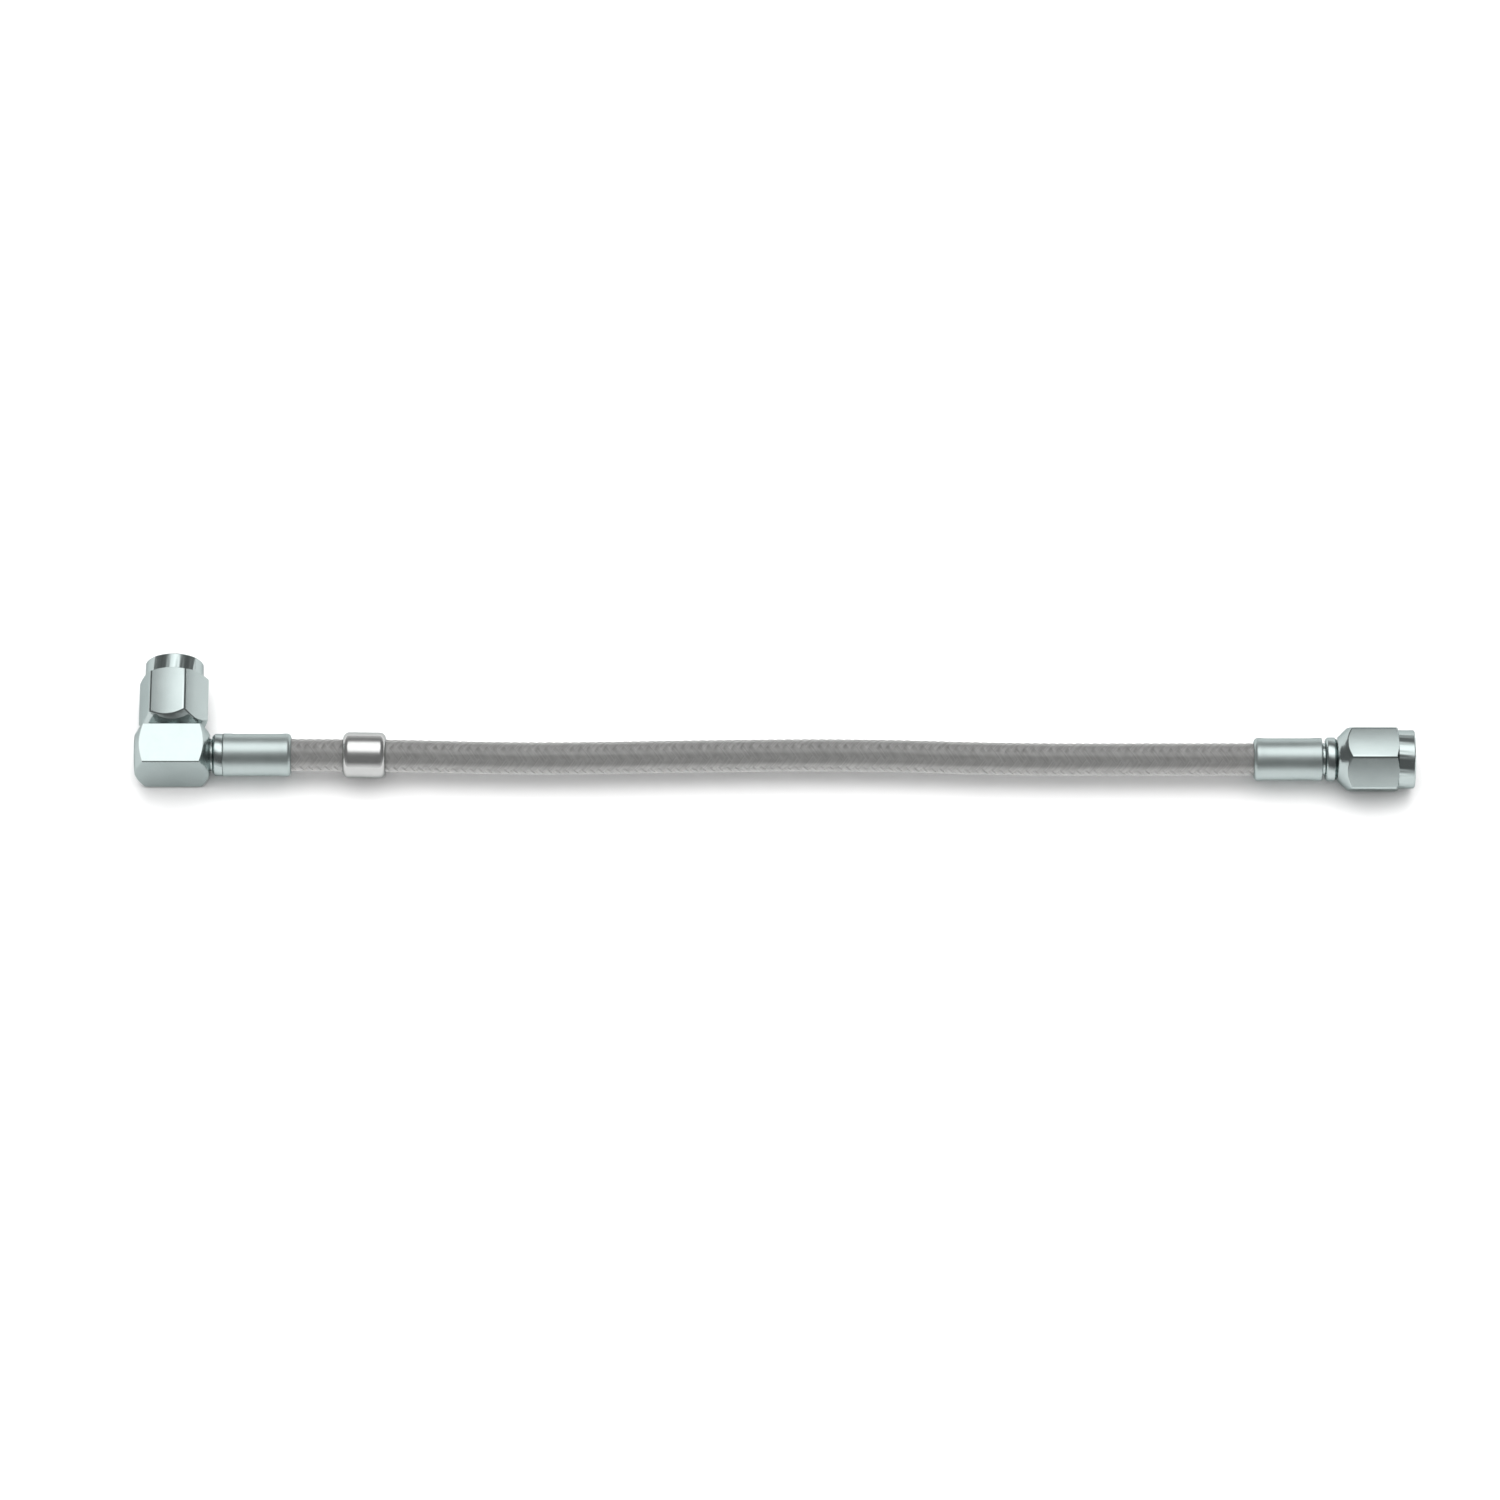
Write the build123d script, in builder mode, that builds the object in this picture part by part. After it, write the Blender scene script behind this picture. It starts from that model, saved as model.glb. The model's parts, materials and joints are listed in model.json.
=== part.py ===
"""Braided supply line: a PTFE-lined hose with a stainless wire braid, a 90 degree block elbow with a swivel
nut at one end and a straight swivel nut at the other. Millimetres, +Z up, +X along the hose towards the
straight end. The origin is under the middle of the fittings, on the surface that the line lies on."""

import os
from math import cos, pi, radians, sin, tan

from build123d import *

os.makedirs("parts", exist_ok=True)

# The swivel nuts, the same at both ends, measured along their own axis.
NUT_FLATS = 12.7
NUT_CORNERS = NUT_FLATS / cos(radians(30))  # before they are rounded
NUT_CORNER_R = 0.8
CORNER_CENTRE = (NUT_FLATS / 2 - NUT_CORNER_R) / cos(radians(30))
NUT_LENGTH = 15.8
NUT_BACK_R = 4.45
TAPER_LENGTH = NUT_CORNERS / 2 - NUT_BACK_R
NUT_RIM_R = 0.5  # where the flats run out into the taper
COLLAR_R = 6.0
COLLAR_LENGTH = 3.4
COLLAR_EDGE = 0.25
CORNER_EDGE = (NUT_CORNERS - NUT_FLATS) / 2 * tan(radians(30))
NUT_TURN = 9.5  # both nuts stand turned by this about their axes, on a rounded corner

# Inside the nuts, measured from the mouth.
THREAD_R = 4.8  # at the root of the 3/8-24 thread
THREAD_START = 0.5
THREAD_END = 6.9
MOUTH_R = THREAD_R + THREAD_START
CHAMBER_R = 4.35
CHAMBER_END = 9.9
NUT_BORE_R = 3.15
SHOULDER_END = CHAMBER_END + CHAMBER_R - NUT_BORE_R

# The seat head inside each nut, measured from the nut's mouth.
SEAT_FACE = 7.0
SEAT_ANGLE = 37.0
SEAT_R = 3.6
HEAD_R = 4.1
HEAD_EDGE = 0.25
HEAD_END = 9.75
STEM_R = 3.08
NECK_START = HEAD_END + HEAD_R - STEM_R
PORT_R = 1.6
SEAT_DEPTH = (SEAT_R - PORT_R) / tan(radians(SEAT_ANGLE))
SEAT_BOTTOM = NUT_LENGTH - SEAT_FACE - SEAT_DEPTH  # from the nut's back
NUT_GAP = 0.1  # behind the nut

# The elbow block and what is pressed into it.
BLOCK_LENGTH = 15.3
BLOCK_DEPTH = 8.8
BLOCK_HEIGHT = 12.3
BLOCK_EDGE = 0.2
BLOCK_END_R = 4.2
BLOCK_END_SLOPE = 30.0
SOCKET_R = 2.6
STEM_SOCKET_DEPTH = 2.6
NIPPLE_SOCKET_DEPTH = 4.6

# The hose, from its bore outwards.
HOSE_BORE_R = 1.6
LINER_R = 2.75
HOSE_R = 3.35

# The hose ends: a nipple inside the hose and a ferrule swaged over it.
FERRULE_R = 4.4
FERRULE_SWAGED_R = 4.32  # between the dies' ends
FERRULE_LENGTH = 14.0
FERRULE_WALL = 1.7
FERRULE_BACK_EDGE = 0.3
FERRULE_MOUTH_EDGE = 0.9
FERRULE_BAND = 1.3  # left unswaged at each end
FERRULE_SLOPE = 1.2
GROOVE_WIDTH = 0.6
GROOVE_R = 3.3
NIPPLE_NECK_R = 2.5
NIPPLE_BORE_R = 1.1
NIPPLE_TAIL = 9.6
BARB_PITCH = 1.6
BARB_DEPTH = 0.15
ELBOW_SHOULDER_R = 4.3
ELBOW_SHOULDER_LENGTH = 2.1
STRAIGHT_SHOULDER_R = 4.5
STRAIGHT_SHOULDER_LENGTH = 2.4
SHOULDER_EDGE = 0.5

# The polished ring on the hose.
RING_R = 4.7
RING_LENGTH = 8.8
RING_EDGE = 1.3
RING_X = 39.3  # from the elbow nut's axis

# The whole line: from the elbow nut's axis to the mouth of the straight nut.
LINE_LENGTH = 254.0
AXIS_Z = CORNER_CENTRE * cos(radians(30 - NUT_TURN)) + NUT_CORNER_R
STRAIGHT_DY = -1.0  # the straight end lies this much nearer the front

# The origin is at the middle of the fittings' box.
REACH_BACK = BLOCK_DEPTH / 2 + NUT_GAP + NUT_LENGTH
REACH_FRONT = CORNER_CENTRE * cos(radians(NUT_TURN)) + NUT_CORNER_R - STRAIGHT_DY
ELBOW_X = -(LINE_LENGTH - BLOCK_LENGTH / 2) / 2
HOSE_Y = -(REACH_BACK - REACH_FRONT) / 2
STRAIGHT_Y = HOSE_Y + STRAIGHT_DY
MOUTH_X = ELBOW_X + LINE_LENGTH


def facing(origin, direction, across):
    """A plane at origin whose Z runs along direction and whose X runs along across."""
    return Plane(origin=origin, x_dir=across, z_dir=direction)


def meridian(plane):
    """The half plane of a turned shape: X is the radius and Y runs along the plane's Z."""
    return Plane(origin=plane.origin, x_dir=plane.x_dir, z_dir=-plane.y_dir)


def turning_axis(plane):
    return Axis(plane.origin, plane.z_dir)


def turned(plane, profile, mode=Mode.ADD):
    """Revolves a closed outline of (radius, distance along the axis) corners, inside a part's block."""
    with BuildSketch(meridian(plane)) as section:
        with BuildLine():
            Polyline(*profile, close=True)
        make_face()
    revolve(section.sketch, axis=turning_axis(plane), mode=mode)


def finish(builder, label):
    builder.part.label = label
    export_step(builder.part, f"parts/{label}.step")


# Each plane stands at the start of its fitting, looking along the fitting's axis.
block_end = facing((ELBOW_X + BLOCK_LENGTH / 2, HOSE_Y, AXIS_Z), (1, 0, 0), (0, 1, 0))
block_back = facing(
    (ELBOW_X, HOSE_Y + BLOCK_DEPTH / 2, AXIS_Z),
    (0, 1, 0),
    (cos(radians(NUT_TURN)), 0, sin(radians(NUT_TURN))),
)
elbow_nut_back = block_back.offset(NUT_GAP)
straight_mouth = facing(
    (MOUTH_X, STRAIGHT_Y, AXIS_Z),
    (1, 0, 0),
    (0, cos(radians(NUT_TURN)), -sin(radians(NUT_TURN))),
)
straight_nut_back = straight_mouth.offset(-NUT_LENGTH)

SHOULDER_BACK = -NUT_LENGTH - NUT_GAP  # from the straight mouth
ELBOW_FERRULE_START = GROOVE_WIDTH + ELBOW_SHOULDER_LENGTH
elbow_ferrule_start = block_end.offset(ELBOW_FERRULE_START)
STRAIGHT_FERRULE_START = SHOULDER_BACK - STRAIGHT_SHOULDER_LENGTH - GROOVE_WIDTH
straight_ferrule_start = facing(
    straight_mouth.offset(STRAIGHT_FERRULE_START).origin, (-1, 0, 0), (0, 1, 0)
)
hose_start = elbow_ferrule_start.offset(FERRULE_WALL).origin
hose_end = straight_ferrule_start.offset(FERRULE_WALL).origin

# The hose's route, chosen by hand: nearly straight, with the slight wave that a stiff hose keeps.
ROUTE = [
    (hose_start.X, HOSE_Y, AXIS_Z),
    (ELBOW_X + 41, HOSE_Y, AXIS_Z),
    (ELBOW_X + 73, HOSE_Y - 0.95, AXIS_Z - 0.1),
    (ELBOW_X + 108, HOSE_Y - 0.2, AXIS_Z - 0.2),
    (ELBOW_X + 140, HOSE_Y + 0.12, AXIS_Z - 0.2),
    (ELBOW_X + 172, HOSE_Y - 1.02, AXIS_Z - 0.1),
    (ELBOW_X + 203, STRAIGHT_Y, AXIS_Z),
    (hose_end.X, STRAIGHT_Y, AXIS_Z),
]
ARC_SHARE = 0.45


def corner_radii(points):
    """The largest arc that each corner's two runs allow."""
    spots = [Vector(*p) for p in points]
    radii = []
    for before, corner, after in zip(spots, spots[1:], spots[2:]):
        run_in = corner - before
        run_out = after - corner
        half_turn = radians(run_in.get_angle(run_out)) / 2
        radii.append(ARC_SHARE * min(run_in.length, run_out.length) / tan(half_turn))
    return radii


def nut(label, back):
    """A hexagon swivel nut: a plane at its back, which looks towards its mouth."""
    mouth = NUT_LENGTH
    hex_end = mouth - COLLAR_LENGTH
    with BuildPart() as made:
        with BuildSketch(back) as hexagon:
            RegularPolygon(NUT_CORNERS / 2, 6)
            fillet(hexagon.vertices(), radius=NUT_CORNER_R)
        extrude(amount=NUT_LENGTH)
        outside = [
            (0, 0),
            (NUT_BACK_R, 0),
            (NUT_CORNERS / 2, TAPER_LENGTH),
            (NUT_CORNERS / 2, hex_end - CORNER_EDGE),
            (NUT_FLATS / 2, hex_end),
            (COLLAR_R, hex_end),
            (COLLAR_R, mouth - COLLAR_EDGE),
            (COLLAR_R - COLLAR_EDGE, mouth),
            (0, mouth),
        ]
        turned(back, outside, Mode.INTERSECT)
        taper = made.faces().filter_by(GeomType.CONE).sort_by(SortBy.AREA)[-1]
        plain = (GeomType.LINE, GeomType.CIRCLE)
        rims = [edge for edge in taper.edges() if edge.geom_type not in plain]
        fillet(rims, radius=NUT_RIM_R)
        inside = [
            (0, 0),
            (NUT_BORE_R, 0),
            (NUT_BORE_R, mouth - SHOULDER_END),
            (CHAMBER_R, mouth - CHAMBER_END),
            (CHAMBER_R, mouth - THREAD_END),
            (THREAD_R, mouth - THREAD_END),
            (THREAD_R, mouth - THREAD_START),
            (MOUTH_R, mouth),
            (0, mouth),
        ]
        turned(back, inside, Mode.SUBTRACT)
    finish(made, label)


def seat_outline(foot):
    """The outer corners of a seat head and its stem, from the seat's rim down to foot, as (radius, place)
    measured from the nut's back."""
    return [
        (SEAT_R, NUT_LENGTH - SEAT_FACE),
        (HEAD_R - HEAD_EDGE, NUT_LENGTH - SEAT_FACE),
        (HEAD_R, NUT_LENGTH - SEAT_FACE - HEAD_EDGE),
        (HEAD_R, NUT_LENGTH - HEAD_END),
        (STEM_R, NUT_LENGTH - NECK_START),
        (STEM_R, foot),
    ]


def barbs(start, sign):
    """The saw-tooth outline of a nipple's tail, from start along sign, as (radius, place) corners."""
    teeth = round(NIPPLE_TAIL / BARB_PITCH)
    corners = []
    for i in range(teeth):
        near = start + sign * i * BARB_PITCH
        corners.append((HOSE_BORE_R, near))
        corners.append((HOSE_BORE_R - BARB_DEPTH, near + sign * BARB_PITCH))
    return corners


def ferrule(label, start):
    """A swaged ferrule: its closed end is at start and it opens towards the hose. The swaging dies leave a
    slightly fatter band at each end."""
    swaged_start = FERRULE_BAND + FERRULE_SLOPE
    with BuildPart() as made:
        with BuildSketch(meridian(start)):
            with BuildLine():
                back = Polyline(
                    (NIPPLE_NECK_R, FERRULE_WALL),
                    (NIPPLE_NECK_R, 0),
                    (FERRULE_R - FERRULE_BACK_EDGE, 0),
                )
                back_edge = RadiusArc(back @ 1, (FERRULE_R, FERRULE_BACK_EDGE), -FERRULE_BACK_EDGE)
                side = Polyline(
                    back_edge @ 1,
                    (FERRULE_R, FERRULE_BAND),
                    (FERRULE_SWAGED_R, swaged_start),
                    (FERRULE_SWAGED_R, FERRULE_LENGTH - swaged_start),
                    (FERRULE_R, FERRULE_LENGTH - FERRULE_BAND),
                    (FERRULE_R, FERRULE_LENGTH - FERRULE_MOUTH_EDGE),
                )
                mouth_corner = (FERRULE_R - FERRULE_MOUTH_EDGE, FERRULE_LENGTH)
                mouth_edge = RadiusArc(side @ 1, mouth_corner, -FERRULE_MOUTH_EDGE)
                Polyline(
                    mouth_edge @ 1,
                    (HOSE_R, FERRULE_LENGTH),
                    (HOSE_R, FERRULE_WALL),
                    back @ 0,
                )
            make_face()
        revolve(axis=turning_axis(start))
    finish(made, label)


# Elbow block: rectangular bar with turned ends, drilled from one end and from the back.
with BuildPart() as elbow_block:
    with BuildSketch(block_end):
        Rectangle(BLOCK_DEPTH, BLOCK_HEIGHT)
    extrude(amount=-BLOCK_LENGTH)
    chamfer(elbow_block.edges().filter_by(Axis.X), BLOCK_EDGE)
    corner_r = ((BLOCK_DEPTH / 2) ** 2 + (BLOCK_HEIGHT / 2) ** 2) ** 0.5
    slope_length = (corner_r - BLOCK_END_R) * tan(radians(BLOCK_END_SLOPE))
    turned_ends = [
        (0, 0),
        (BLOCK_END_R, 0),
        (corner_r, -slope_length),
        (corner_r, slope_length - BLOCK_LENGTH),
        (BLOCK_END_R, -BLOCK_LENGTH),
        (0, -BLOCK_LENGTH),
    ]
    turned(block_end, turned_ends, Mode.INTERSECT)
    with BuildSketch(block_end):
        Circle(SOCKET_R)
    extrude(amount=-NIPPLE_SOCKET_DEPTH, mode=Mode.SUBTRACT)
    with BuildSketch(block_end):
        Circle(PORT_R)
    extrude(amount=-(BLOCK_LENGTH / 2 + PORT_R), mode=Mode.SUBTRACT)
    with BuildSketch(block_back):
        Circle(SOCKET_R)
    extrude(amount=-STEM_SOCKET_DEPTH, mode=Mode.SUBTRACT)
    with BuildSketch(block_back):
        Circle(PORT_R)
    extrude(amount=-BLOCK_DEPTH / 2, mode=Mode.SUBTRACT)
finish(elbow_block, "elbow_block")

# Elbow seat stem: pressed into the block's back, it carries the nut and the seat.
with BuildPart() as elbow_seat_stem:
    stem_outline = [
        (PORT_R, SEAT_BOTTOM),
        *seat_outline(-NUT_GAP),
        (SOCKET_R, -NUT_GAP),
        (SOCKET_R, -NUT_GAP - STEM_SOCKET_DEPTH),
        (PORT_R, -NUT_GAP - STEM_SOCKET_DEPTH),
    ]
    turned(elbow_nut_back, stem_outline)
finish(elbow_seat_stem, "elbow_seat_stem")

# Elbow nipple: pressed into the block's end, with a shoulder for the ferrule and a barbed tail in the hose.
with BuildPart() as elbow_nipple:
    butt = ELBOW_FERRULE_START + FERRULE_WALL
    nipple_outline = [
        (NIPPLE_BORE_R, -NIPPLE_SOCKET_DEPTH),
        (SOCKET_R, -NIPPLE_SOCKET_DEPTH),
        (SOCKET_R, 0),
        (GROOVE_R, 0),
        (GROOVE_R, GROOVE_WIDTH),
        (ELBOW_SHOULDER_R - SHOULDER_EDGE, GROOVE_WIDTH),
        (ELBOW_SHOULDER_R, GROOVE_WIDTH + SHOULDER_EDGE),
        (ELBOW_SHOULDER_R, ELBOW_FERRULE_START),
        (NIPPLE_NECK_R, ELBOW_FERRULE_START),
        (NIPPLE_NECK_R, butt),
        *barbs(butt, 1),
        (NIPPLE_BORE_R, butt + NIPPLE_TAIL),
    ]
    turned(block_end, nipple_outline)
finish(elbow_nipple, "elbow_nipple")

ferrule("elbow_ferrule", elbow_ferrule_start)
nut("elbow_swivel_nut", elbow_nut_back)

# Straight nipple: one turned piece, with the seat head, a shoulder ring and a barbed tail in the hose.
with BuildPart() as straight_nipple:
    shoulder_end = -NUT_GAP - STRAIGHT_SHOULDER_LENGTH
    ferrule_face = shoulder_end - GROOVE_WIDTH
    butt = ferrule_face - FERRULE_WALL
    straight_outline = [
        (PORT_R, SEAT_BOTTOM),
        *seat_outline(-NUT_GAP),
        (STRAIGHT_SHOULDER_R - SHOULDER_EDGE, -NUT_GAP),
        (STRAIGHT_SHOULDER_R, -NUT_GAP - SHOULDER_EDGE),
        (STRAIGHT_SHOULDER_R, shoulder_end + SHOULDER_EDGE),
        (STRAIGHT_SHOULDER_R - SHOULDER_EDGE, shoulder_end),
        (GROOVE_R, shoulder_end),
        (GROOVE_R, ferrule_face),
        (NIPPLE_NECK_R, ferrule_face),
        (NIPPLE_NECK_R, butt),
        *barbs(butt, -1),
        (NIPPLE_BORE_R, butt - NIPPLE_TAIL),
        (NIPPLE_BORE_R, ferrule_face),
        (PORT_R, ferrule_face),
    ]
    turned(straight_nut_back, straight_outline)
finish(straight_nipple, "straight_nipple")

ferrule("straight_ferrule", straight_ferrule_start)
nut("straight_swivel_nut", straight_nut_back)

# The hose: the route is one line of straight runs and tangent arcs, and liner and braid follow it.
radii = corner_radii(ROUTE)
with BuildLine() as route:
    FilletPolyline(*ROUTE, radius=radii)
hose_line = route.wire()
print("hose arc radii, mm:", [round(r) for r in radii])
print("hose length in the fittings and between them, mm:", round(hose_line.length, 2))


def tube(label, inner_r, outer_r):
    """A layer of the hose along its whole route."""
    with BuildPart() as made:
        with BuildSketch(elbow_ferrule_start.offset(FERRULE_WALL)):
            Circle(outer_r)
            Circle(inner_r, mode=Mode.SUBTRACT)
        sweep(path=hose_line)
    section_area = pi * (outer_r**2 - inner_r**2)
    expected = section_area * hose_line.length
    print(f"{label}: volume over section times length {made.part.volume / expected:.4f}")
    finish(made, label)


tube("hose_liner", HOSE_BORE_R, LINER_R)
tube("hose_braid", LINER_R, HOSE_R)

# The polished ring stands square to the hose where it sits.
ring_share = (ELBOW_X + RING_X - hose_start.X) / hose_line.length
ring_middle = facing(hose_line @ ring_share, hose_line % ring_share, (0, 1, 0))
with BuildPart() as id_ring:
    with BuildSketch(meridian(ring_middle)):
        with BuildLine():
            half = RING_LENGTH / 2
            lower = Line((HOSE_R, -half), (RING_R - RING_EDGE, -half))
            lower_edge = RadiusArc(lower @ 1, (RING_R, -half + RING_EDGE), -RING_EDGE)
            side = Line(lower_edge @ 1, (RING_R, half - RING_EDGE))
            upper_edge = RadiusArc(side @ 1, (RING_R - RING_EDGE, half), -RING_EDGE)
            Polyline(upper_edge @ 1, (HOSE_R, half), lower @ 0)
        make_face()
    revolve(axis=turning_axis(ring_middle))
finish(id_ring, "id_ring")
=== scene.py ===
"""The looks of a braided supply line: a woven steel hose between a block elbow and a straight swivel end.
Everything is in metres, in the CAD model's frame: +X along the hose, +Z up, the line lying on z = 0."""

import json
import math

import bpy
import numpy as np
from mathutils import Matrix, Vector


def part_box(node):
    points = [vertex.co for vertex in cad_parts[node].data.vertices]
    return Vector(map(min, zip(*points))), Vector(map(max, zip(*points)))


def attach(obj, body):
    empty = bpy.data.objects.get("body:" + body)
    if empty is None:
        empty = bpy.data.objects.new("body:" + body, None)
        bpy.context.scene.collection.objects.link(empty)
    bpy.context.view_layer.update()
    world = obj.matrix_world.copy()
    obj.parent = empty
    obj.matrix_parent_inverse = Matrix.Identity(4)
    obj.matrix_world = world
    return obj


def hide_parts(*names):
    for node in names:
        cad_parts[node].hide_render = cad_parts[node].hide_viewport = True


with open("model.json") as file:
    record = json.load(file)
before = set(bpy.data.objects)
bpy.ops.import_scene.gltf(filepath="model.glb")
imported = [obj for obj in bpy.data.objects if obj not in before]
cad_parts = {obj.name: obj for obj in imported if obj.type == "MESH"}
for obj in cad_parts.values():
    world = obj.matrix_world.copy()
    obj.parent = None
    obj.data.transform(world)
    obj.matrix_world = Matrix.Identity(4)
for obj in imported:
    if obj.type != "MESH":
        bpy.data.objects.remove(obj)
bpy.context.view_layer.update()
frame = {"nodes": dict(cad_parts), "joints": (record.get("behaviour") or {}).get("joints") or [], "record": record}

MM = 0.001
joints = {j["name"]: j for j in frame["joints"]}
mounts = {m["name"]: m for m in frame["record"]["mounts"]}
elbow_axis = Vector(joints["elbow_nut_spin"]["pos_m"])
straight_axis = Vector(joints["straight_nut_spin"]["pos_m"])
block_low, block_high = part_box("elbow_block")
block_middle = (block_low + block_high) / 2


# ---------------------------------------------------------------- camera

CAMERA_ELEVATION = math.radians(65)
CAMERA_DISTANCE = 2.0
VIEW_WIDTH = 306.9 * MM
SENSOR_WIDTH = 36.0
CLIP_START, CLIP_END = 0.1, 20.0
AIM = block_middle + Vector((118.15 * MM, 1.1 * MM, 0))


def add_camera():
    """A long lens that looks along +Y and steeply down."""
    data = bpy.data.cameras.new("camera")
    data.sensor_width = SENSOR_WIDTH
    data.lens = SENSOR_WIDTH * CAMERA_DISTANCE / VIEW_WIDTH
    data.clip_start, data.clip_end = CLIP_START, CLIP_END
    camera = bpy.data.objects.new("camera", data)
    back = Vector((0, -math.cos(CAMERA_ELEVATION), math.sin(CAMERA_ELEVATION)))
    camera.location = AIM + back * CAMERA_DISTANCE
    camera.rotation_mode = "QUATERNION"
    camera.rotation_quaternion = (-back).to_track_quat("-Z", "Y")
    bpy.context.collection.objects.link(camera)
    bpy.context.scene.camera = camera


add_camera()


# ---------------------------------------------------------------- node helpers


def new_material(name):
    """A material, its node tree and the shader in it."""
    material = bpy.data.materials.new(name)
    material.use_nodes = True
    tree = material.node_tree
    shader = tree.nodes["Principled BSDF"]
    return material, tree, shader


def node(tree, kind, **settings):
    """A node with its sockets or properties set by name."""
    made = tree.nodes.new(kind)
    for key, value in settings.items():
        if key in made.inputs:
            made.inputs[key].default_value = value
        else:
            setattr(made, key, value)
    return made


def ramp(tree, source, low, high):
    """Maps a 0 to 1 value onto low to high."""
    mapped = node(tree, "ShaderNodeMapRange")
    mapped.inputs["To Min"].default_value = low
    mapped.inputs["To Max"].default_value = high
    tree.links.new(source, mapped.inputs["Value"])
    return mapped.outputs["Result"]


def tint(tree, source, dark, light):
    """Maps a 0 to 1 value onto a stretch between two colours."""
    mix = node(tree, "ShaderNodeMix", data_type="RGBA")
    mix.inputs["A"].default_value = (*dark, 1)
    mix.inputs["B"].default_value = (*light, 1)
    tree.links.new(source, mix.inputs["Factor"])
    return mix.outputs["Result"]


def place(tree):
    """The surface's own coordinates, in metres."""
    return node(tree, "ShaderNodeTexCoord").outputs["Object"]


def noise(tree, where, scale, detail=3.0, stretch=(1, 1, 1), roughness=0.55):
    """Noise over the object's own coordinates, in features per metre, stretched along some axes."""
    mapping = node(tree, "ShaderNodeMapping")
    mapping.inputs["Scale"].default_value = stretch
    tree.links.new(where, mapping.inputs["Vector"])
    made = node(tree, "ShaderNodeTexNoise", Scale=scale, Detail=detail, Roughness=roughness)
    tree.links.new(mapping.outputs["Vector"], made.inputs["Vector"])
    return made.outputs["Fac"]


def bump(tree, shader, height, distance):
    """Raises the shader's surface by up to distance where height is 1."""
    made = node(tree, "ShaderNodeBump", Distance=distance, Strength=1.0)
    tree.links.new(height, made.inputs["Height"])
    tree.links.new(made.outputs["Normal"], shader.inputs["Normal"])
    return made


def average(tree, *sources):
    """The mean of several values."""
    total = sources[0]
    for source in sources[1:]:
        add = node(tree, "ShaderNodeMath", operation="ADD")
        tree.links.new(total, add.inputs[0])
        tree.links.new(source, add.inputs[1])
        total = add.outputs[0]
    share = node(tree, "ShaderNodeMath", operation="DIVIDE")
    share.inputs[1].default_value = len(sources)
    tree.links.new(total, share.inputs[0])
    return share.outputs[0]


# ---------------------------------------------------------------- materials

PLATE_DARK = (0.37, 0.425, 0.42)
PLATE_LIGHT = (0.46, 0.52, 0.515)
STEEL_DARK = (0.42, 0.425, 0.42)
STEEL_LIGHT = (0.54, 0.545, 0.54)
WIRE_DARK = (0.41, 0.41, 0.405)
WIRE_LIGHT = (0.61, 0.61, 0.60)
PTFE_DARK = (0.80, 0.80, 0.77)
PTFE_LIGHT = (0.88, 0.88, 0.86)
PAPER_DARK = (0.90, 0.90, 0.90)
PAPER_LIGHT = (0.92, 0.92, 0.92)
EDGE_TINT = (0.5, 0.53, 0.53)  # of plated metal seen at a slant

# Roughness, in the middle of the range that each metal's markings spread it over.
NUT_TURNED = 0.13
NUT_DRAWN = 0.22
SEAT_TURNED = 0.16
BODY_TURNED = 0.2
BLOCK_DRAWN = 0.24
FERRULE_SWAGED = 0.36
RING_POLISHED = 0.15
THREAD_CUT = 0.22
SPREAD = 0.3  # either side, as a share of it

# How many markings there are in a metre.
LATHE_RINGS = 5200
DRAWN_LINES = 5200
SMUDGES = 260
CLOUDS = 210
GRAIN = 9000
SPECKS = 2600
WIRE_SCUFFS = 900
WIRE_GRAIN = 12000
PTFE_CLOUDS = 300
PAPER_CLOUDS = 40

# How deep the markings are.
TURNED_RELIEF = 0.0012 * MM
DRAWN_RELIEF = 0.0015 * MM
WIRE_RELIEF = 0.001 * MM
CROWN = 0.13  # how domed a polished flat looks: 0 is flat, 1 is a cylinder round the nut's axis

SOFTENED = 0.9  # the metallic value of metal that mirrors a little less


def as_plated(shader, metallic=1.0):
    """Metal that is darker than usual at a slant, as thin plating is."""
    shader.inputs["Metallic"].default_value = metallic
    shader.inputs["Specular Tint"].default_value = (*EDGE_TINT, 1)


def roughen(tree, shader, markings, roughness):
    """Spreads the roughness either side of its middle value by the markings."""
    spread = ramp(tree, markings, roughness * (1 - SPREAD), roughness * (1 + SPREAD))
    tree.links.new(spread, shader.inputs["Roughness"])


def radius_from(tree, where, centre, axis):
    """How far a point of the surface is from the line through centre along axis, 0 for X or 1 for Y."""
    flatten = [1, 1, 1]
    flatten[axis] = 0
    shift = node(tree, "ShaderNodeVectorMath", operation="SUBTRACT")
    shift.inputs[1].default_value = centre
    tree.links.new(where, shift.inputs[0])
    keep = node(tree, "ShaderNodeVectorMath", operation="MULTIPLY")
    keep.inputs[1].default_value = flatten
    tree.links.new(shift.outputs[0], keep.inputs[0])
    size = node(tree, "ShaderNodeVectorMath", operation="LENGTH")
    tree.links.new(keep.outputs[0], size.inputs[0])
    return size.outputs["Value"]


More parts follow.
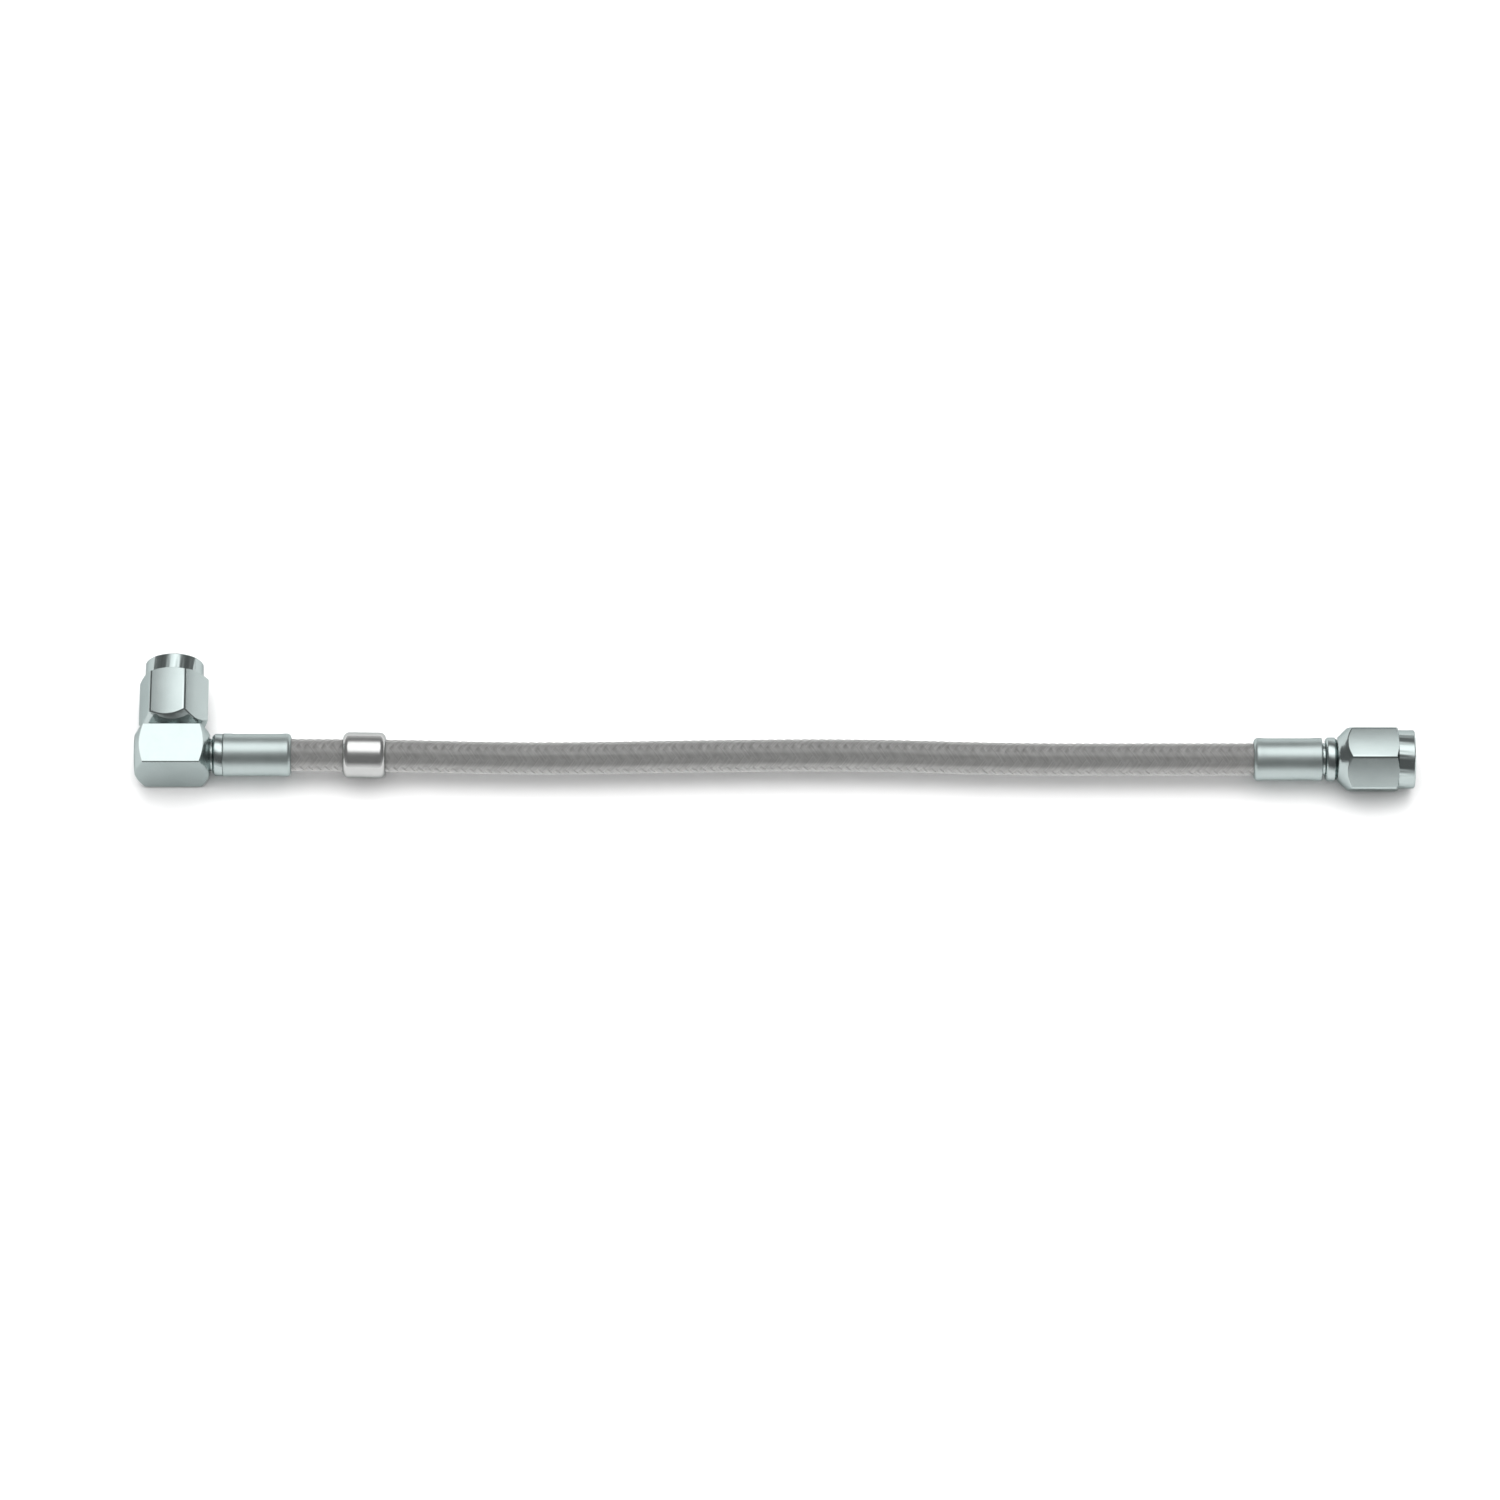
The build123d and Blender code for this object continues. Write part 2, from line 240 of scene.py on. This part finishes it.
def turned_metal(name, dark, light, axis, centre, roughness, metallic=1.0):
    """Plated or polished steel with the fine rings that a lathe leaves round an axis."""
    material, tree, shader = new_material(name)
    where = place(tree)
    along = node(tree, "ShaderNodeSeparateXYZ")
    tree.links.new(where, along.inputs[0])
    out = radius_from(tree, where, centre, axis)
    both = node(tree, "ShaderNodeMath", operation="ADD")
    tree.links.new(along.outputs[axis], both.inputs[0])
    tree.links.new(out, both.inputs[1])
    rings = node(tree, "ShaderNodeTexNoise", noise_dimensions="1D", Scale=LATHE_RINGS, Detail=2.0)
    tree.links.new(both.outputs[0], rings.inputs["W"])
    smudge = noise(tree, where, SMUDGES, detail=4.0)
    grain = noise(tree, where, GRAIN, detail=2.0)
    tree.links.new(tint(tree, smudge, dark, light), shader.inputs["Base Color"])
    roughen(tree, shader, average(tree, smudge, rings.outputs["Fac"]), roughness)
    bump(tree, shader, average(tree, rings.outputs["Fac"], grain), TURNED_RELIEF)
    as_plated(shader, metallic)
    return material


def drawn_metal(name, dark, light, stretch, roughness, crown=None):
    """Plated cold-drawn bar: faint lines along the bar, given by the axis that stretch is small on. A crown
    of (centre, axis) makes the flats round that axis look very slightly domed, as polishing leaves them."""
    material, tree, shader = new_material(name)
    where = place(tree)
    lines = noise(tree, where, DRAWN_LINES, detail=3.0, stretch=stretch)
    cloud = noise(tree, where, CLOUDS, detail=5.0)
    speck = noise(tree, where, SPECKS, detail=2.0)
    tree.links.new(tint(tree, cloud, dark, light), shader.inputs["Base Color"])
    roughen(tree, shader, average(tree, cloud, lines, speck), roughness)
    relief = bump(tree, shader, average(tree, lines, speck), DRAWN_RELIEF)
    if crown:
        dome = node(tree, "ShaderNodeBump", Distance=CROWN, Strength=1.0, invert=True)
        tree.links.new(radius_from(tree, where, *crown), dome.inputs["Height"])
        tree.links.new(dome.outputs["Normal"], relief.inputs["Normal"])
    as_plated(shader)
    return material


def wire_metal():
    """Drawn stainless wire, each strand a little lighter or darker than its neighbours."""
    material, tree, shader = new_material("stainless_wire")
    where = place(tree)
    strand = node(tree, "ShaderNodeAttribute", attribute_name="strand")
    scuff = noise(tree, where, WIRE_SCUFFS, detail=4.0)
    tone = average(tree, strand.outputs["Fac"], scuff)
    tree.links.new(tint(tree, tone, WIRE_DARK, WIRE_LIGHT), shader.inputs["Base Color"])
    tree.links.new(ramp(tree, scuff, 0.40, 0.58), shader.inputs["Roughness"])
    bump(tree, shader, noise(tree, where, WIRE_GRAIN, detail=2.0), WIRE_RELIEF)
    shader.inputs["Metallic"].default_value = SOFTENED
    return material


def ptfe():
    """Smooth waxy white tube."""
    material, tree, shader = new_material("ptfe")
    where = place(tree)
    cloud = noise(tree, where, PTFE_CLOUDS)
    tree.links.new(tint(tree, cloud, PTFE_DARK, PTFE_LIGHT), shader.inputs["Base Color"])
    tree.links.new(ramp(tree, cloud, 0.38, 0.5), shader.inputs["Roughness"])
    shader.inputs["Subsurface Weight"].default_value = 0.2
    shader.inputs["Subsurface Scale"].default_value = 0.5 * MM
    return material


# ---------------------------------------------------------------- the hose

# The route of the hose, as in the CAD model: along, aside and up from the middle of the block.
straight_aside = straight_axis.y - block_middle.y
straight_up = straight_axis.z - block_middle.z
ROUTE = [
    (12.05 * MM, 0, 0),
    (41 * MM, 0, 0),
    (73 * MM, -0.95 * MM, -0.1 * MM),
    (108 * MM, -0.2 * MM, -0.2 * MM),
    (140 * MM, 0.12 * MM, -0.2 * MM),
    (172 * MM, -1.02 * MM, -0.1 * MM),
    (203 * MM, straight_aside, straight_up),
    (233.4 * MM, straight_aside, straight_up),
]
ROUTE_STEPS = 40  # points from one of those to the next
LINER_R = 2.75 * MM
LINER_BORE_R = 1.6 * MM
LINER_SIDES = 40
LINER_RINGS = 90
WIRE_R = 0.118 * MM
WIRES = 6  # side by side in each carrier
CARRIERS = 8  # each way round
LAY_ANGLE = math.radians(54)
WEAVE_R = 3.06 * MM
WEAVE_DEPTH = 0.14 * MM
WEAVE_REST = 1.3  # over 1 keeps a wire at its full height or depth for longer
WIRE_SIDES = 6
STEPS_PER_CROSSING = 3


def hose_spline():
    """The smooth line that the hose follows, as points close together."""
    data = bpy.data.curves.new("hose_route", "CURVE")
    data.dimensions = "3D"
    data.resolution_u = ROUTE_STEPS
    spline = data.splines.new("NURBS")
    spline.points.add(len(ROUTE) - 1)
    for point, (along, aside, up) in zip(spline.points, ROUTE):
        point.co = (*(block_middle + Vector((along, aside, up))), 1)
    spline.order_u = 3
    spline.use_endpoint_u = True
    holder = bpy.data.objects.new("hose_route", data)
    mesh = bpy.data.meshes.new_from_object(holder)
    points = np.array([v.co for v in mesh.vertices], float)
    bpy.data.meshes.remove(mesh)
    bpy.data.objects.remove(holder)
    return points


class Line:
    """A smooth line that gives its place, and which way is aside and up, at any length along it."""

    def __init__(self, points):
        self.points = points
        steps = np.linalg.norm(np.diff(points, axis=0), axis=1)
        self.along = np.concatenate([[0], np.cumsum(steps)])
        self.length = self.along[-1]
        tangents = np.gradient(points, self.along, axis=0)
        self.tangents = tangents / np.linalg.norm(tangents, axis=1)[:, None]

    def at(self, s):
        def read(values):
            return np.stack([np.interp(s, self.along, values[:, k]) for k in range(3)], axis=-1)

        tangent = read(self.tangents)
        tangent /= np.linalg.norm(tangent, axis=-1)[..., None]
        aside = np.cross(np.array([0.0, 0.0, 1.0]), tangent)
        aside /= np.linalg.norm(aside, axis=-1)[..., None]
        return read(self.points), aside, np.cross(tangent, aside)


def mesh_object(name, points, faces, material, smooth=True):
    """A new object, in the scene, with that mesh and material."""
    data = bpy.data.meshes.new(name)
    data.from_pydata([tuple(p) for p in points], [], [tuple(f) for f in faces])
    data.polygons.foreach_set("use_smooth", [smooth] * len(data.polygons))
    data.materials.append(material)
    data.update()
    made = bpy.data.objects.new(name, data)
    bpy.context.collection.objects.link(made)
    return made


def grid_faces(rows, columns, first=0, wrap_rows=False, wrap_columns=True):
    """Quads over a grid of points stored row by row."""
    row = np.arange(rows if wrap_rows else rows - 1)
    column = np.arange(columns if wrap_columns else columns - 1)
    r, c = (a.ravel() for a in np.meshgrid(row, column, indexing="ij"))
    r2, c2 = (r + 1) % rows, (c + 1) % columns
    corners = [r * columns + c, r * columns + c2, r2 * columns + c2, r2 * columns + c]
    return first + np.stack(corners, axis=1)


def wires(line, start, end):
    """The points and faces of every wire of the braid. Carriers wind both ways, and each goes over two of
    the others and under two."""
    wind = math.tan(LAY_ANGLE) / WEAVE_R  # radians round per metre along
    crossings = CARRIERS * wind * (end - start) / math.pi
    steps = int(crossings * STEPS_PER_CROSSING) + 1
    s = np.linspace(start, end, steps)
    middle, aside, up = line.at(s)
    ring = np.arange(WIRE_SIDES) * 2 * math.pi / WIRE_SIDES
    side_step = 2 * WIRE_R / (WEAVE_R * math.cos(LAY_ANGLE))
    points, faces, tones = [], [], []
    tone_of = np.random.default_rng(7)
    for way in (1, -1):
        for carrier in range(CARRIERS):
            for wire in range(WIRES):
                shift = (wire - (WIRES - 1) / 2) * side_step
                share = shift / (2 * math.pi / CARRIERS)
                turn = way * wind * s + carrier * 2 * math.pi / CARRIERS + shift
                phase = 2 * carrier + share + way * CARRIERS * wind * s / math.pi
                lift = way * np.cos(math.pi / 2 * (phase - 0.5))
                lift = np.clip(WEAVE_REST * lift, -1, 1)
                radius = WEAVE_R + WEAVE_DEPTH * lift
                out = np.cos(turn)[:, None] * aside + np.sin(turn)[:, None] * up
                centre = middle + radius[:, None] * out
                ahead = np.gradient(centre, axis=0)
                ahead /= np.linalg.norm(ahead, axis=1)[:, None]
                across = np.cross(ahead, out)
                across /= np.linalg.norm(across, axis=1)[:, None]
                normal = np.cross(across, ahead)
                tube = (
                    centre[:, None]
                    + WIRE_R * np.cos(ring)[None, :, None] * across[:, None]
                    + WIRE_R * np.sin(ring)[None, :, None] * normal[:, None]
                )
                first = len(points) * steps * WIRE_SIDES
                points.append(tube.reshape(-1, 3))
                faces.append(grid_faces(steps, WIRE_SIDES, first))
                tones.append(np.full(steps * WIRE_SIDES, tone_of.random()))
    return np.concatenate(points), np.concatenate(faces), np.concatenate(tones)


def liner_mesh(line):
    """A hollow tube along the line, closed at both ends."""
    middle, aside, up = line.at(np.linspace(0, line.length, LINER_RINGS))
    ring = np.arange(LINER_SIDES) * 2 * math.pi / LINER_SIDES
    out = np.cos(ring)[None, :, None] * aside[:, None] + np.sin(ring)[None, :, None] * up[:, None]
    outer = middle[:, None] + LINER_R * out
    inner = (middle[:, None] + LINER_BORE_R * out)[::-1]
    points = np.concatenate([outer, inner]).reshape(-1, 3)
    return points, grid_faces(2 * LINER_RINGS, LINER_SIDES, wrap_rows=True)


hose_line = Line(hose_spline())


def add_hose():
    wire = wire_metal()
    points, faces, tones = wires(hose_line, 0, hose_line.length)
    braid = mesh_object("braid_wires", points, faces, wire)
    strand = braid.data.attributes.new("strand", "FLOAT", "POINT")
    strand.data.foreach_set("value", tones.astype(np.float32))
    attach(braid, "line")
    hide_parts("hose_braid")
    points, faces = liner_mesh(hose_line)
    liner = mesh_object("liner_tube", points, faces, ptfe())
    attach(liner, "line")
    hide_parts("hose_liner")


add_hose()


# ---------------------------------------------------------------- the fittings

X, Y = 0, 1
NUT_FLATS = 12.7 * MM
ALONG_STRETCH = 0.02  # the drawn lines are this share as wide as they are long
ACROSS_X = (ALONG_STRETCH, 1, 1)
ACROSS_Y = (1, ALONG_STRETCH, 1)

EDGE_ANGLE = math.radians(32)  # edges that turn by more than this are rounded
NUT_EDGE = 0.2 * MM
BLOCK_EDGE = 0.14 * MM
RING_EDGE = 0.08 * MM
SMALL_EDGE = 0.06 * MM
WELD_WITHIN = 0.0005 * MM
FLAT_WITHIN = math.radians(0.05)
LEVEL = 0.02  # how far the normal of a face may lean along an axis that the face follows
FLAT_OFF = 0.03 * MM  # how far a nut's flat may be from its nominal place


def finish_metal(name, width, *materials):
    """Gives a CAD node its materials and takes the sharpness off its edges."""
    made = frame["nodes"][name]
    made.data.materials.clear()
    for material in materials:
        made.data.materials.append(material)
    weld = made.modifiers.new("weld", "WELD")
    weld.merge_threshold = WELD_WITHIN
    flat = made.modifiers.new("flat", "DECIMATE")
    flat.decimate_type = "DISSOLVE"
    flat.angle_limit = FLAT_WITHIN
    flat.delimit = {"MATERIAL"}
    bevel = made.modifiers.new("edges", "BEVEL")
    bevel.width = width
    bevel.segments = 3
    bevel.limit_method = "ANGLE"
    bevel.angle_limit = EDGE_ANGLE
    bevel.harden_normals = True
    bevel.use_clamp_overlap = True
    return made


def flats_to_slot(made, centre, axis, distance, slot):
    """The flat faces at that distance from an axis take the material in that slot."""
    for face in made.data.polygons:
        normal = face.normal
        off = face.center - centre
        off[axis] = 0
        flat = abs(normal[axis]) < LEVEL and abs(off.dot(normal) - distance) < FLAT_OFF
        face.material_index = slot if flat else 0


def add_fittings():
    plate = (PLATE_DARK, PLATE_LIGHT)
    nuts = {
        "elbow_swivel_nut": (elbow_axis, Y, ACROSS_Y),
        "straight_swivel_nut": (straight_axis, X, ACROSS_X),
    }
    for name, (centre, axis, stretch) in nuts.items():
        turned = turned_metal(name + "_turned", *plate, axis, centre, NUT_TURNED)
        drawn = drawn_metal(name + "_drawn", *plate, stretch, NUT_DRAWN, crown=(centre, axis))
        made = finish_metal(name, NUT_EDGE, turned, drawn)
        flats_to_slot(made, centre, axis, NUT_FLATS / 2, 1)

    elbow_turned = turned_metal("elbow_turned", *plate, X, block_middle, BODY_TURNED)
    block_drawn = drawn_metal("block_drawn", *plate, ACROSS_X, BLOCK_DRAWN)
    block = finish_metal("elbow_block", BLOCK_EDGE, elbow_turned, block_drawn)
    for face in block.data.polygons:
        face.material_index = 1 if abs(face.normal.x) < LEVEL else 0

    seat_turned = turned_metal("seat_turned", *plate, Y, elbow_axis, SEAT_TURNED)
    finish_metal("elbow_seat_stem", SMALL_EDGE, seat_turned)
    finish_metal("elbow_nipple", SMALL_EDGE, elbow_turned)
    straight_turned = turned_metal("straight_turned", *plate, X, straight_axis, BODY_TURNED)
    finish_metal("straight_nipple", SMALL_EDGE, straight_turned)

    for end, centre in {"elbow": block_middle, "straight": straight_axis}.items():
        swaged = turned_metal(end + "_swaged", *plate, X, centre, FERRULE_SWAGED, SOFTENED)
        finish_metal(end + "_ferrule", SMALL_EDGE, swaged)
    steel = (STEEL_DARK, STEEL_LIGHT)
    polished = turned_metal("ring_polished", *steel, X, block_middle, RING_POLISHED, SOFTENED)
    finish_metal("id_ring", RING_EDGE, polished)


add_fittings()


# ---------------------------------------------------------------- the threads in the nuts

THREAD_PITCH = 25.4 * MM / 24
THREAD_DEPTH = 0.54 * MM
THREAD_SIDES = 96
THREAD_FADE = 0.6  # of a turn
THREAD_START = 0.55  # turns in from the mouth
THREAD_SPARE = 1.1  # turns of the wall that the ridge leaves free
ROOT_WIDTH = 0.88 * THREAD_PITCH
CREST_WIDTH = 0.14 * THREAD_PITCH
SUNK = 0.02 * MM  # into the wall


def thread_mesh(mouth, direction, root_r, length):
    """A helical ridge that stands in from the nut's wall, fading out at both ends. The profile is a sharp
    V with a flat crest and a flat root, set a hair into the wall."""
    forward = Vector(direction)
    right = forward.orthogonal().normalized()
    over = forward.cross(right)
    turns = length / THREAD_PITCH - THREAD_SPARE
    steps = int(turns * THREAD_SIDES) + 1
    turn = np.linspace(0, turns, steps)
    fade = np.clip(np.minimum(turn, turns - turn) / THREAD_FADE, 0, 1)
    fade = fade * fade * (3 - 2 * fade)
    half_root, half_crest = ROOT_WIDTH / 2, CREST_WIDTH / 2
    profile = [(-half_root, -SUNK), (-half_crest, 1), (half_crest, 1), (half_root, -SUNK)]
    angle = turn * 2 * math.pi
    out = np.cos(angle)[:, None] * np.array(right) + np.sin(angle)[:, None] * np.array(over)
    depth_in = THREAD_PITCH * (turn + THREAD_START)
    base = np.array(mouth) - depth_in[:, None] * np.array(forward)
    columns = []
    for side, height in profile:
        rise = THREAD_DEPTH * fade if height > 0 else np.full(steps, height)
        radius = (root_r - rise)[:, None]
        columns.append(base + side * np.array(forward) + radius * out)
    points = np.stack(columns, axis=1)
    faces = grid_faces(steps, len(profile)).tolist()
    last = (steps - 1) * len(profile)
    faces.append([3, 2, 1, 0])
    faces.append([last, last + 1, last + 2, last + 3])
    return points.reshape(-1, 3), faces


def add_threads():
    for end in ("elbow", "straight"):
        name, port, body = end + "_thread", end + "_port", end + "_nut"
        mount = mounts[port]
        direction = Vector(mount["axis"])
        length = mount["dims"]["length_mm"] * MM
        mouth = Vector(mount["pos_m"]) + direction * length / 2
        axis = [abs(a) for a in direction].index(1)
        points, faces = thread_mesh(mouth, direction, mount["dims"]["r_mm"] * MM, length)
        cut = turned_metal(name + "_cut", PLATE_DARK, PLATE_LIGHT, axis, mouth, THREAD_CUT)
        ridge = mesh_object(name, points, faces, cut, smooth=False)
        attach(ridge, body)


add_threads()


# ---------------------------------------------------------------- floor and light

FLOOR_SIZE = 6.0


def add_floor():
    material, tree, shader = new_material("paper")
    where = place(tree)
    cloud = noise(tree, where, PAPER_CLOUDS)
    tree.links.new(tint(tree, cloud, PAPER_DARK, PAPER_LIGHT), shader.inputs["Base Color"])
    shader.inputs["Roughness"].default_value = 0.9
    shader.inputs["Specular IOR Level"].default_value = 0.1
    half = FLOOR_SIZE / 2
    corners = [(-half, -half, 0), (half, -half, 0), (half, half, 0), (-half, half, 0)]
    floor = mesh_object("floor", corners, [(0, 1, 2, 3)], material, smooth=False)


SKY_STRENGTH = 2.35
SKY_TILT = math.radians(19)  # the middle of the sky's bright patch, behind the line
PATCH_ASPECT = 1.15  # over 1 is narrower along the line
FLOOR_SEEN = 1.05  # what the camera sees past the floor's edge
# The bright patch: its level at so many degrees from its middle.
PATCH = [(0, 1.0), (16, 0.97), (21, 0.81), (25, 0.66), (31, 0.28), (38, 0.12), (52, 0.07), (90, 0.07)]
# The low glow in front and behind: its level at the sine of the height above the horizon.
GLOW = [(0, 0.46), (0.14, 0.38), (0.26, 0.25), (0.38, 0.08), (0.5, 0)]
GLOW_BIAS = 0.25  # makes the glow weaker behind than in front; it fades out towards the sides


def sky_ramp(tree, source, stops):
    """Grey levels over a 0 to 1 value, from (place, level) stops."""
    made = node(tree, "ShaderNodeValToRGB")
    elements = made.color_ramp.elements
    elements.remove(elements[0])
    for i, (where, level) in enumerate(stops):
        stop = elements[0] if i == 0 else elements.new(where)
        stop.position = where
        stop.color = (level, level, level, 1)
    tree.links.new(source, made.inputs["Fac"])
    return made.outputs["Color"]


def add_sky():
    """A pale studio: a bright patch overhead and a little behind, dark round it, and a low glow in front and
    behind."""
    world = bpy.data.worlds.new("studio")
    bpy.context.scene.world = world
    world.use_nodes = True
    tree = world.node_tree
    shader = tree.nodes["Background"]
    direction = node(tree, "ShaderNodeTexCoord").outputs["Generated"]
    squeeze = node(tree, "ShaderNodeVectorMath", operation="MULTIPLY")
    squeeze.inputs[1].default_value = (PATCH_ASPECT, 1, 1)
    tree.links.new(direction, squeeze.inputs[0])
    level = node(tree, "ShaderNodeVectorMath", operation="NORMALIZE")
    tree.links.new(squeeze.outputs[0], level.inputs[0])
    aim = node(tree, "ShaderNodeVectorMath", operation="DOT_PRODUCT")
    aim.inputs[1].default_value = (0, math.sin(SKY_TILT), math.cos(SKY_TILT))
    tree.links.new(level.outputs[0], aim.inputs[0])
    angle = node(tree, "ShaderNodeMath", operation="ARCCOSINE")
    tree.links.new(aim.outputs["Value"], angle.inputs[0])
    share = node(tree, "ShaderNodeMath", operation="DIVIDE")
    share.inputs[1].default_value = math.pi / 2
    tree.links.new(angle.outputs[0], share.inputs[0])
    patch = sky_ramp(tree, share.outputs[0], [(degrees / 90, grey) for degrees, grey in PATCH])
    split = node(tree, "ShaderNodeSeparateXYZ")
    tree.links.new(direction, split.inputs[0])
    low = sky_ramp(tree, split.outputs["Z"], GLOW)
    ahead = node(tree, "ShaderNodeMath", operation="SUBTRACT")
    ahead.inputs[1].default_value = GLOW_BIAS
    tree.links.new(split.outputs["Y"], ahead.inputs[0])
    ends = node(tree, "ShaderNodeMath", operation="MULTIPLY")
    tree.links.new(split.outputs["Y"], ends.inputs[0])
    tree.links.new(ahead.outputs[0], ends.inputs[1])
    scaled = node(tree, "ShaderNodeMath", operation="DIVIDE")
    scaled.inputs[1].default_value = 1 + GLOW_BIAS
    tree.links.new(ends.outputs[0], scaled.inputs[0])
    both = node(tree, "ShaderNodeMix", data_type="RGBA", blend_type="ADD")
    tree.links.new(scaled.outputs[0], both.inputs["Factor"])
    tree.links.new(patch, both.inputs["A"])
    tree.links.new(low, both.inputs["B"])
    show = node(tree, "ShaderNodeMix", data_type="RGBA")
    show.inputs["B"].default_value = (*[FLOOR_SEEN / SKY_STRENGTH] * 3, 1)
    tree.links.new(node(tree, "ShaderNodeLightPath").outputs["Is Camera Ray"], show.inputs["Factor"])
    tree.links.new(both.outputs["Result"], show.inputs["A"])
    tree.links.new(show.outputs["Result"], shader.inputs["Color"])
    shader.inputs["Strength"].default_value = SKY_STRENGTH


SUN_TILT = math.radians(6)  # to the back
SUN_WIDTH = math.radians(80)
SUN_STRENGTH = 2.9


def add_sun():
    """A wide soft lamp for the floor, which the metal doesn't mirror."""
    data = bpy.data.lights.new("soft_sun", "SUN")
    data.energy = SUN_STRENGTH
    data.angle = SUN_WIDTH
    lamp = bpy.data.objects.new("soft_sun", data)
    back = Vector((0, math.sin(SUN_TILT), math.cos(SUN_TILT)))
    lamp.rotation_mode = "QUATERNION"
    lamp.rotation_quaternion = (-back).to_track_quat("-Z", "Y")
    lamp.visible_glossy = False
    bpy.context.collection.objects.link(lamp)


add_floor()
add_sky()
add_sun()
bpy.context.scene.view_settings.view_transform = "Standard"
